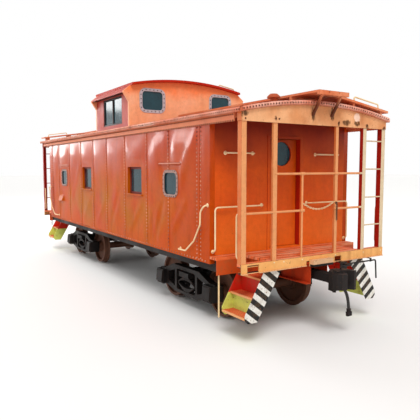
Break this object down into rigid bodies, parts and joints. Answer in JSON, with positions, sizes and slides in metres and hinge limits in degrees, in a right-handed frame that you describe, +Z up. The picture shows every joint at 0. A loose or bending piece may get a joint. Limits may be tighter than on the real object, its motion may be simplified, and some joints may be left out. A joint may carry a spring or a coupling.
{
  "type": "caboose",
  "caption": "Steel cupola caboose with open end platforms, railings, ladders and steps, on two swivelling trucks with leaf springs.",
  "frame": {"origin": "middle of the car, at the level of the wheel flanges' lowest points", "axes": "+X along the car towards end a, +Y across it, +Z up"},
  "size_m": [11.46, 3.048, 4.3444],
  "materials": {
    "side_paint": "weathered orange-red enamel, semi gloss",
    "end_paint": "orange enamel, satin",
    "pale_paint": "chalky pale orange enamel with rust runs",
    "red_paint": "red enamel, satin",
    "cream_paint": "cream enamel over rod and pipe",
    "black_metal": "black paint, dusty",
    "cast_steel": "cast steel with old black paint and rust",
    "wheel_steel": "rust-filmed steel, tread worn bright",
    "planks": "painted planks, worn red-brown",
    "step_paint": "yellow and red enamel, striped black and white stringers",
    "rubber": "matte black rubber",
    "aluminium": "dull aluminium",
    "glass": "dark clear glass"
  },
  "bodies": {
    "car": {"air_hose_a": "rubber", "air_hose_b": "rubber", "body_bolsters": "black_metal", "brake_gear": "black_metal", "center_sill": "black_metal", "corner_posts": "end_paint", "coupler_carriers": "black_metal", "couplers": "cast_steel", "crossbearers": "black_metal", "cupola_end_a": "end_paint", "cupola_end_b": "end_paint", "cupola_frames": "aluminium", "cupola_roof": "red_paint", "cupola_side_left": "end_paint", "cupola_side_right": "end_paint", "door_hinges": "end_paint", "drain_pipe": "cream_paint", "eave_boards": "pale_paint", "end_railings": "end_paint", "end_sills": "end_paint", "end_wall_a": "end_paint", "end_wall_b": "end_paint", "floor": "black_metal", "gangway_chains": "cream_paint", "glad_hand_a": "cast_steel", "glad_hand_b": "cast_steel", "grab_irons": "cream_paint", "hand_brake": "black_metal", "ladders": "cream_paint", "platform_decks": "planks", "roof": "pale_paint", "roof_vent": "red_paint", "running_boards": "red_paint", "side_sills": "black_metal", "side_wall_left": "side_paint", "side_wall_right": "side_paint", "steps": "step_paint", "uncoupling_levers": "black_metal", "window_frames": "rubber", "window_glass": "glass"},
    "truck_a": {"side_frames_a": "cast_steel", "truck_bolster_a": "cast_steel", "leaf_springs_a": "cast_steel", "brake_beams_a": "cast_steel"},
    "truck_b": {"side_frames_b": "cast_steel", "truck_bolster_b": "cast_steel", "leaf_springs_b": "cast_steel", "brake_beams_b": "cast_steel"},
    "door_a": {"door_a": "end_paint", "door_glass_a": "glass"},
    "door_b": {"door_b": "end_paint", "door_glass_b": "glass"},
    "wheelset_a1": {"axle_a1": "wheel_steel", "wheels_a1": "wheel_steel"},
    "wheelset_a2": {"axle_a2": "wheel_steel", "wheels_a2": "wheel_steel"},
    "wheelset_b1": {"axle_b1": "wheel_steel", "wheels_b1": "wheel_steel"},
    "wheelset_b2": {"axle_b2": "wheel_steel", "wheels_b2": "wheel_steel"}
  },
  "joints": [
    {"name": "truck_a_swivel", "type": "hinge", "parent": "car", "child": "truck_a", "pos_m": [2.9, 0, 0.67], "axis": [0, 0, 1], "range_deg": [-4, 4]},
    {"name": "truck_b_swivel", "type": "hinge", "parent": "car", "child": "truck_b", "pos_m": [-2.9, 0, 0.67], "axis": [0, 0, 1], "range_deg": [-4, 4]},
    {"name": "wheelset_a1_turn", "type": "hinge", "parent": "truck_a", "child": "wheelset_a1", "pos_m": [3.738, 0, 0.444], "axis": [0, 1, 0], "continuous": true},
    {"name": "wheelset_a2_turn", "type": "hinge", "parent": "truck_a", "child": "wheelset_a2", "pos_m": [2.062, 0, 0.444], "axis": [0, 1, 0], "continuous": true},
    {"name": "wheelset_b1_turn", "type": "hinge", "parent": "truck_b", "child": "wheelset_b1", "pos_m": [-3.738, 0, 0.444], "axis": [0, 1, 0], "continuous": true},
    {"name": "wheelset_b2_turn", "type": "hinge", "parent": "truck_b", "child": "wheelset_b2", "pos_m": [-2.062, 0, 0.444], "axis": [0, 1, 0], "continuous": true},
    {"name": "door_a_hinge", "type": "hinge", "parent": "car", "child": "door_a", "pos_m": [4.21, 0.314, 2], "axis": [0, 0, -1], "range_deg": [0, 90]},
    {"name": "door_b_hinge", "type": "hinge", "parent": "car", "child": "door_b", "pos_m": [-4.21, -0.314, 2], "axis": [0, 0, -1], "range_deg": [0, 90]}
  ]
}
